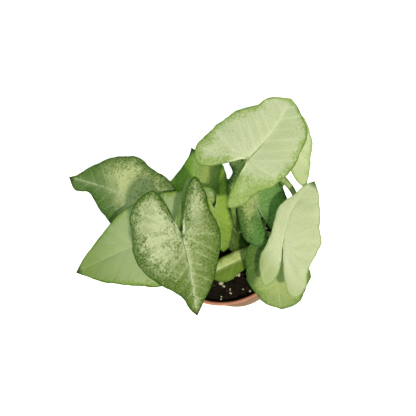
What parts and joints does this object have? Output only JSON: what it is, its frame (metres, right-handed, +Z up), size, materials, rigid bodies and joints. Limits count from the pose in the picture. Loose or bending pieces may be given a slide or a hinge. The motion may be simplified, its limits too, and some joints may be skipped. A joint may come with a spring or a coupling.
{
  "type": "potted arrowhead plant",
  "caption": "Young arrowhead plant with pale arrow-shaped leaves on slender stalks, growing in a tapered round nursery pot that rests on its flat base.",
  "frame": {"origin": "centre of the pot's flat base, on the surface that it stands on", "axes": "+Z up along the pot's axis; -Y towards the side where the front leaf hangs; +X to the right when seen from there"},
  "size_m": [0.2116, 0.1877, 0.1991],
  "materials": {
    "pot": "matte moulded plastic, terracotta brown",
    "soil": "damp loose potting mix with white perlite grains",
    "stalk": "smooth living stalk, soft sheen",
    "blade": "thin living leaf, satin, pale green with darker speckled edge"
  },
  "bodies": {
    "root": {"pot": "pot", "soil": "soil", "shoot_left": "stalk", "shoot_middle": "stalk", "shoot_right": "stalk", "blade_front": "blade", "blade_upper": "blade", "blade_right": "blade", "blade_left_back": "blade", "blade_left_front": "blade", "blade_low_right": "blade", "blade_back_right": "blade", "blade_back": "blade", "blade_middle": "blade", "blade_inner_right": "blade", "blade_low_front": "blade", "blade_low_middle": "blade", "blade_young": "blade"}
  },
  "joints": []
}
